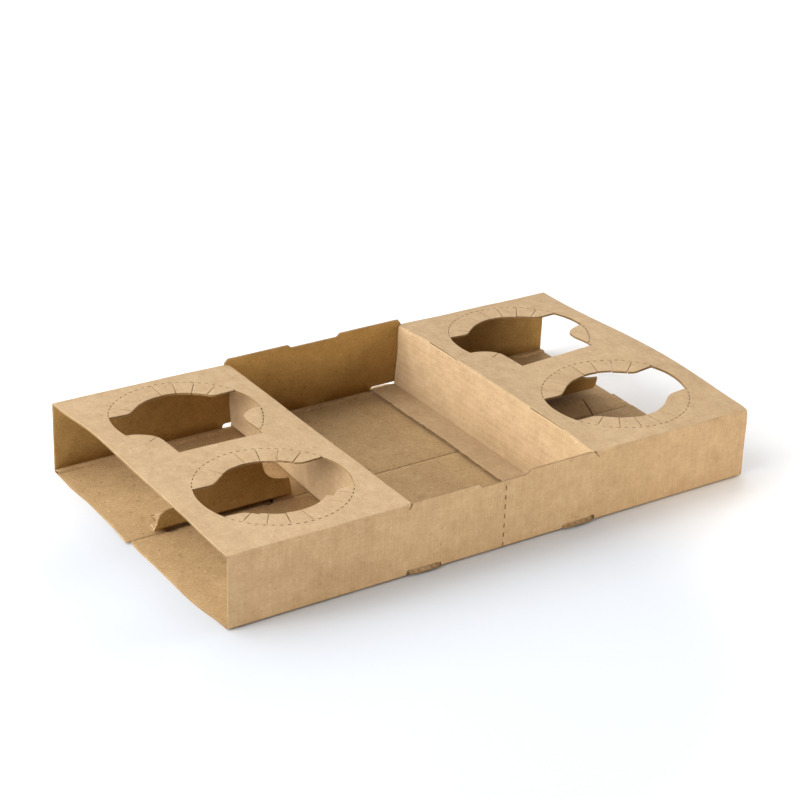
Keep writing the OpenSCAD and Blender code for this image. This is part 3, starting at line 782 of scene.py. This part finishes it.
# ---------------------------------------------------------------- partitions and their flanges
def add_partition(side):
    s = SIDES[side]
    body, foot = "partition_" + side, "flange_" + side
    e = np.array([-s * math.sin(rad(PLEAN)), 0, -math.cos(rad(PLEAN))])
    n = np.array([-s * math.cos(rad(PLEAN)), 0, math.sin(rad(PLEAN))])
    hinge, ankle = np.array([s * FOLD_X, 0, MID]), np.array([s * PART_X, 0, FOOT_Z])
    # U on the blank runs on from the deck towards the well
    U = lambda t: s * (FOLD_X - t)
    notch = [[(U(t0), y0), (U(t1), y1), (U(t2), y2)] for t0, y0, t1, y1, t2, y2 in
             ((0.3, -108, 2.2, -103.2, 0.3, -101.9),)]

    def panel(name, t0, t1, at, slot, b, loops=(), grid=(13, 14), nodes=None, **kw):
        piece = Board(name)
        edge = densify(rect(*sorted((U(t0), U(t1))), -IN_Y, IN_Y), 14)
        if t1 == t_end:
            # a torn, uneven free edge
            far = U(t1)
            fine_edge = densify(rect(*sorted((U(t0), U(t1))), -IN_Y, IN_Y), 2.6)
            edge = [p + ([0.16 * math.sin(p[1] * 1.9 + s) + 0.2 * math.sin(p[1] * 0.83), 0] if abs(p[0] - far) < 0.01 and
                         abs(p[1]) < IN_Y - 1 else [0, 0]) for p in fine_edge]
        cuts = list(loops)
        keep = lambda P: inside(edge, P) & ~np.any([inside(l, P) for l in cuts] + [np.zeros(len(P), bool)], 0)
        free = kw.pop("free", lambda M: abs(abs(M[:, 1]) - IN_Y) < 0.05)
        board(piece, keep, [edge] + cuts, at, free=free, grid=grid, **kw)
        return piece.done(nodes, b)

    # the blank's place t along the partition gives t from the hinge
    t_end = PART_L + FLANGE_W
    along = lambda o, d, m: (lambda Uu, V, h: o + np.outer((FOLD_X - s * Uu), d) + np.outer(V, (0, 1, 0)) + np.outer(h, m))
    panel("partition_" + side, CR, PART_L - CR, along(hinge, e, n), "kraft_outer", body, nodes=["partition_" + side],
          grid=(5, 6), skin="upright", back="outer")
    fe = np.array([-s, 0, 0])
    up = np.array([0, 0, 1.0])
    o = ankle - fe * PART_L
    nick = []
    for y in (78.5, -8.5, 41.0):
        t = PART_L + FLANGE_W
        nick.append([(U(t + 0.5), y - 1.3), (U(t - 0.55), y - 0.5), (U(t - 0.25), y + 0.1), (U(t - 0.7), y + 0.6), (U(t + 0.5), y + 1.4)])

    def flange(Uu, V, h):
        X = along(o, fe, up)(Uu, V, h)
        t = (FOLD_X - s * Uu - PART_L) / FLANGE_W
        lift = 0.45 + 0.35 * np.sin(V / 33.0 + s) + 0.25 * np.sin(V / 13.0)
        X[:, 2] += lift * smooth(t) * smooth((IN_Y - abs(V)) / 22)
        return X

    panel("flange_" + side, PART_L + CR, t_end, flange, "kraft_outer", foot, loops=nick,
          nodes=["partition_flange_" + side],
          free=lambda M: (abs(abs(M[:, 1]) - IN_Y) < 0.05) | (abs(M[:, 0] - U(t_end)) < 1.2))

    # creases
    deck_dir = np.array([s, 0, 0.0])
    across = lambda Uu, V: (FOLD_X - s * Uu, V)
    top = fold(hinge, deck_dir, e, up, n, CR, (0, 1, 0), across)
    slit = [[(U(0.16), y0), (U(-0.16), y0 + 0.3), (U(-0.24), y1 - 0.4), (U(0.1), y1), (U(0.26), y1 - 0.5)] for y0, y1 in
            ((-72.0, -38.0), (38.6, 70.5))]
    cols = [[(U(t), -110), (U(t), 110)] for t in np.linspace(-CR, CR, 9)[1:-1]]
    ob = panel("crease_deck_partition_" + side, -CR, CR, top, "kraft_outer", None, loops=slit, grid=(50, 9), extra=cols,
               medium=False, crush=0.1, rings=(), free=lambda M: abs(M[:, 0] - U(0)) < 0.7, skin="upright")
    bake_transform(ob)
    across2 = lambda Uu, V: (FOLD_X - s * Uu - PART_L, V)
    low = fold(ankle, -e, fe, n, up, CR, (0, 1, 0), across2)
    cols = [[(U(PART_L + t), -110), (U(PART_L + t), 110)] for t in np.linspace(-CR, CR, 9)[1:-1]]
    ob = panel("crease_partition_flange_" + side, PART_L - CR, PART_L + CR, low, "kraft_outer", None, grid=(50, 9), extra=cols,
               medium=False, crush=0.0, rings=())
    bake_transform(ob)

    # the ends of the flange, bowed down through the slots at the foot of the walls
    for end, m in (("front", -1), ("rear", 1)):
        name = f"flange_lock_{end}_{side}"
        piece = Board(name)
        wide = 64.0 if end == "front" else 60.6
        u0, u1 = sorted((s * 43.2, s * wide))
        far = 3.5 if end == "front" else 4.6
        tip = [(u0, IN_Y), (u1, IN_Y), (u1, IN_Y + far - 2.4), (u1 - 0.5, IN_Y + far - 1.2), (u1 - 1.8, IN_Y + far - 0.4), (u1 - 4, IN_Y + far),
               (u0 + 4, IN_Y + far), (u0 + 1.7, IN_Y + far - 0.5), (u0 + 0.5, IN_Y + far - 1.4), (u0, IN_Y + far - 2.6)]
        loop = densify([(x, m * y) for x, y in tip], 3)

        def nib(Uu, V, h, m=m, u0=u0, u1=u1, wide=wide):
            t = abs(V) - IN_Y
            side_droop = 0.5 * ((Uu - (u0 + u1) / 2) / (wide - 43.2) * 2) ** 2
            z = FOOT_Z - 0.15 - 0.75 * smooth(t / 2.0) - 0.12 * t - side_droop * smooth(t / 2.5)
            return np.stack([Uu, V, z + h], 1)

        board(piece, lambda P: inside(loop, P), [loop], nib, grid=(4, 1.5), rings=(0.4,), crush=0.3,
              free=lambda M: abs(M[:, 1]) > IN_Y + 0.05, dim=lambda M: M[:, 1] < 0)
        ob = piece.done(["flange_lock_ends_" + side], foot)
        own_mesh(ob)


for side in SIDES:
    add_partition(side)


# ---------------------------------------------------------------- dividers, cut out of the rear holes
def divider_region():
    """The flat outline of a divider and its foot, and a test for it, about the centre of the rear hole."""
    k = 0.16
    half = {}
    for m in (1, -1):
        half[m] = [(0, NECK_V + 0.01), (m * (NECK / 2 - k), NECK_V + 0.01)] + shoulder(-k, m) + [
            (m * 60, SHOULDER_V + k)] + ring_end(-k, m) + [(0, 0)]
    circle = arc(R_FOLD - 0.25, 0, 358, 3.0)
    tongue = arc(R_CUP - 0.35, 0, 180, 3.0)
    neck = rect(-NECK / 2 + k, NECK / 2 - k, NECK_V, NECK_V + 18)
    strip = rect(-12, 12, -45.5, 4.5)

    def keep(P):
        h = inside(half[1], P) | inside(half[-1], P) | inside(strip, P)
        return (inside(circle, P) & h) | (inside(neck, P) & (inside(half[1], P) | inside(half[-1], P))) | inside(tongue, P)

    return keep, [half[1], half[-1], circle, tongue, neck, strip]


def add_divider(side):
    s, lean = SIDES[side], LEAN[side]
    body, foot = "divider_" + side, "divider_foot_" + side
    keep0, outlines = divider_region()
    outlines = list(outlines)
    if side == "right":
        uncut = keep0
        notch = rect(43.9, 50, CREASE_V - CR - 0.5, CREASE_V + CR + 0.5)
        keep0 = lambda P: uncut(P) & ~inside(notch, P)
        outlines.append(notch)
    if side == "left":
        whole = keep0
        nibbled = bez((-33, -9.4), (-41, -9.2), (-44.4, -5.5), (-44.8, 0.6)) + [(-50, 0.6), (-50, -12), (-33, -12)]
        crumpled = bez((-50, 6.5), (-40, 6.0), (-37.5, 9.5), (-36.5, 18.5), n=10) + [(-50, 18.5)]
        keep0 = lambda P: whole(P) & ~inside(nibbled, P) & ~inside(crumpled, P)
        outlines += [nibbled, crumpled]
    cx = s * CUP_X
    hinge = np.array([cx, DIV_Y, MID])
    e = np.array([0, math.sin(rad(lean)), -math.cos(rad(lean))])
    n = np.array([0, math.cos(rad(lean)), math.sin(rad(lean))])
    ankle = hinge + e * DROP
    fe, up = np.array([0, 1.0, 0]), np.array([0, 0, 1.0])

    def part(name, v0, v1, at, b, nodes=None, grid=(9, 9), free=None, **kw):
        band = rect(-50, 50, v0, v1)
        loops = [densify(l, 8) for l in outlines] + [band]
        keep = lambda P: keep0(P) & (P[:, 1] > v0) & (P[:, 1] < v1)
        piece = Board(name)
        joined = lambda M: (abs(M[:, 1] - v0) < 0.03) | (abs(M[:, 1] - v1) < 0.03)
        # the divider's inner face takes the painted-shade copy of the inner liner
        board(piece, keep, loops, at, free=free or (lambda M: ~joined(M)), grid=grid, uv0=(cx, 250),
              back="inner_painted_shade", **kw)
        ob = piece.done(nodes, b)
        if side == "right" and b:
            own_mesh(ob)
        if b == "divider_foot_left":
            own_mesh(ob)
        return ob

    # the liner of the inner face looks forward, the outer liner rearward; the foot has slid to the right
    slide = 1.1 if side == "left" else 2.0
    # the left one has crept up a little at its foot
    creep = np.array([0, -0.1, 0.6]) if side == "left" else np.zeros(3)

    def wall(U, V, h):
        X = hinge + np.outer(U, (1, 0, 0)) + np.outer(V - NECK_V, e) + np.outer(h, n)
        t = (V - NECK_V) / DROP
        X[:, 1] += 1.1 * np.sin(np.pi * t) * (0.4 + 0.6 * (U / 45) ** 2) * (1 if side == "left" else 0.6)
        X[:, 0] += slide * smooth(t * 1.8)
        X += np.outer(np.clip(t, 0, 1) ** 1.1, creep)
        return X

    part("divider_" + side, NECK_V + CR, CREASE_V - CR, wall, body, nodes=["divider_" + side])

    def tread(U, V, h):
        X = ankle + np.outer(U, (1, 0, 0)) + np.outer(V - CREASE_V, fe) + np.outer(h, up)
        t = np.clip((V - CREASE_V) / 12, 0, 1)
        X[:, 2] += (0.25 if side == "left" else 1.6) * smooth(t)
        X[:, 0] += slide
        X += creep
        return X

    part("divider_foot_" + side, CREASE_V + CR, CREASE_V + 40, tread, foot, nodes=["divider_foot_" + side])
    rows = lambda c: [[(-50, c + t), (50, c + t)] for t in np.linspace(-CR, CR, 9)[1:-1]]
    deck_dir = np.array([0, -1.0, 0])
    top = fold(hinge, deck_dir * 0.8, e, up, n, CR, (1, 0, 0), lambda U, V: (V - NECK_V, U))
    k = 0.16
    neck = rect(-NECK / 2 + k, NECK / 2 - k, NECK_V - CR, NECK_V + CR)
    piece = Board("crease_deck_divider_" + side)
    board(piece, lambda P: inside(neck, P), [densify(neck, 8)], top, grid=(9, 50), extra=rows(NECK_V), medium=False,
          crush=0.0, rings=(), uv0=(cx, 250))
    ob = piece.done(None)
    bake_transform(ob)
    low = fold(ankle + creep, -e, fe, n, up, CR, (1, 0, 0), lambda U, V: (V - CREASE_V, U + slide))
    ob = part("crease_divider_foot_" + side, CREASE_V - CR, CREASE_V + CR, low, None, grid=(9, 50), extra=rows(CREASE_V),
              medium=False, crush=0.0, rings=())
    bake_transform(ob)


for side in SIDES:
    add_divider(side)


# ---------------------------------------------------------------- floor lock flaps
def add_flap(side):
    s = SIDES[side]
    tilt = rad(1.6) if side == "left" else 0.0
    z = 0.75 if side == "left" else 0.5
    sink = 1.2 if side == "left" else -0.95      # the left one is pressed down behind its crease, the right one lies flush
    cx = s * CUP_X
    e = np.array([0, math.cos(tilt), math.sin(tilt)])
    n = np.array([0, math.sin(tilt), -math.cos(tilt)])
    o = np.array([cx, 4.0, z])
    loop = [(-27.2, 1.0), (27.2, 1.0), (29, 1.6), (33.2, 1.9), (34.6, 6), (35.3, 20.95), (-35.8, 20.95), (-35.2, 6), (-33.6, 1.9), (-29, 1.6)]
    loop = densify(loop if side == "left" else [(-28.0, 1.0), (27.2, 1.0), (35.2, 20.9), (-35.6, 20.9)], 9)
    at = lambda U, V, h: o + np.outer(U, (1, 0, 0)) + np.outer(V, e) + np.outer(h, n) - np.outer(
        sink * smooth((V - 1) / 1.4) * (1 - (1.0 if sink > 0 else 0.0) * np.clip((V - 4) / 15, 0, 1)), (0, 0, 1))
    piece = Board("floor_lock_flap_" + side)
    thin = lambda U, V: np.full(len(U), 0.7 if side == "left" else LAP)
    free = (lambda M: M[:, 1] > 1.05) if side == "left" else (lambda M: (M[:, 1] > 1.05) & (M[:, 0] > 0) & (M[:, 1] < 20.8))
    board(piece, lambda P: inside(loop, P), [loop], at, thick=thin, free=free, grid=(10, 7), uv0=(cx, 44), medium=False,
          extra=[[(-36, v), (36, v)] for v in (1.6, 2.2, 2.8, 3.4)])
    piece.done(["floor_lock_flap_" + side], "lock_flap_" + side)
    piece = Board("crease_lock_flap_" + side)
    strip = rect(-27.2, 27.2, 0.0, 1.0)
    bend = fold(o, (0, -1, 0), e, (0, 0, -1), n, 1.0, (1, 0, 0), lambda U, V: (V * 2 - 1, U))
    board(piece, lambda P: inside(strip, P), [densify(strip, 8)], bend, thick=thin, grid=(9, 50), medium=False, crush=0.0,
          rings=(), extra=[[(-30, t), (30, t)] for t in (0.17, 0.33, 0.5, 0.67, 0.83)], uv0=(cx, 44))
    ob = piece.done(None)
    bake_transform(ob)


for side in SIDES:
    add_flap(side)

# ---------------------------------------------------------------- stage, light and camera
scene = bpy.context.scene
scene.view_settings.view_transform = "Standard"
scene.view_settings.look = "None"

me = bpy.data.meshes.new("studio_floor")
r = 6.0
me.from_pydata([(-r, -r, -0.0006), (r, -r, -0.0006), (r, r, -0.0006), (-r, r, -0.0006)], [], [(0, 1, 2, 3)])
studio = bpy.data.objects.new("studio_floor", me)
scene.collection.objects.link(studio)
m = bpy.data.materials.new("studio_white_with_painted_shadow")
m.use_nodes = True
t = m.node_tree
b = t.nodes["Principled BSDF"]
b.inputs["Roughness"].default_value = 0.9
b.inputs["Specular IOR Level"].default_value = 0.1
# painted shadow: the floor's colour is darker and a little bluer within about 0.17 to 0.30 m of a point at the tray's
# front left, where the tray's shadow falls, and near white further out
where = t.nodes.new("ShaderNodeTexCoord")
shift = t.nodes.new("ShaderNodeMapping")
shift.inputs["Location"].default_value = (0.13, 0.16, 0.0)
t.links.new(where.outputs["Object"], shift.inputs[0])
length = t.nodes.new("ShaderNodeVectorMath")
length.operation = "LENGTH"
t.links.new(shift.outputs[0], length.inputs[0])
sheet = t.nodes.new("ShaderNodeValToRGB")
sheet.color_ramp.interpolation = "EASE"
sheet.color_ramp.elements[0].position, sheet.color_ramp.elements[1].position = 0.17, 0.30
sheet.color_ramp.elements[0].color = (0.70, 0.735, 0.785, 1)
sheet.color_ramp.elements[1].color = (0.97, 0.975, 0.98, 1)
t.links.new(length.outputs["Value"], sheet.inputs[0])
t.links.new(sheet.outputs[0], b.inputs["Base Color"])
me.materials.append(m)

world = bpy.data.worlds.new("studio")
world.use_nodes = True
world.node_tree.nodes["Background"].inputs[0].default_value = (1, 1, 1, 1)
world.node_tree.nodes["Background"].inputs[1].default_value = 0.0
scene.world = world


def towards(az, el):
    return Vector((math.cos(rad(az)) * math.cos(rad(el)), math.sin(rad(az)) * math.cos(rad(el)), math.sin(rad(el))))


def lamp(name, az, el, strength, spread=0.0, far=0.0, size=0.0, colour=(1, 1, 1)):
    """A soft light from azimuth az and height el, in degrees: a wide sun of this spread, or a disk this far away."""
    data = bpy.data.lights.new(name, "AREA" if far else "SUN")
    if far:
        data.shape, data.size, data.energy = "DISK", size, strength * math.pi * far ** 2
    else:
        data.angle, data.energy = rad(spread), strength
    data.color = colour
    ob = bpy.data.objects.new(name, data)
    ob.location = towards(az, el) * (far or 2.0)
    ob.rotation_mode = "QUATERNION"
    ob.rotation_quaternion = towards(az, el).to_track_quat("Z", "Y")
    scene.collection.objects.link(ob)


WARM = (1, 0.87, 0.70)
lamp("key", 180, 35, 1.58, spread=60)
lamp("key_low", 180, 14, 0.60, spread=24)
lamp("key_near", 180, 16, 2.15, far=1.0, size=0.45)
lamp("left_rear", 140, 30, 0.95, spread=50)
lamp("back", 90, 50, 1.37, spread=60)
lamp("right_rear", 45, 18, 0.80, spread=30)
lamp("right_low", 0, 20, 0.90, spread=40)
lamp("right", 0, 45, 0.45, spread=60)
lamp("fill_front", -90, 5, 0.50, spread=8, colour=WARM)
lamp("fill_right_front", -72, 7, 1.08, far=0.9, size=0.18, colour=WARM)

cam = bpy.data.cameras.new("camera")
cam.lens, cam.sensor_width, cam.sensor_fit = 100.07, 36.0, "HORIZONTAL"
cam.clip_start, cam.clip_end = 0.01, 50
eye = bpy.data.objects.new("camera", cam)
scene.collection.objects.link(eye)
right = (0.8361131, -0.5474565, 0.0347316)
down = (-0.2128066, -0.3820659, -0.8992992)
ahead = (0.5055969, 0.7445247, -0.4359527)
eye.matrix_world = Matrix((
    (right[0], -down[0], -ahead[0], -0.675205),
    (right[1], -down[1], -ahead[1], -0.988451),
    (right[2], -down[2], -ahead[2], 0.629083),
    (0, 0, 0, 1)))
scene.camera = eye
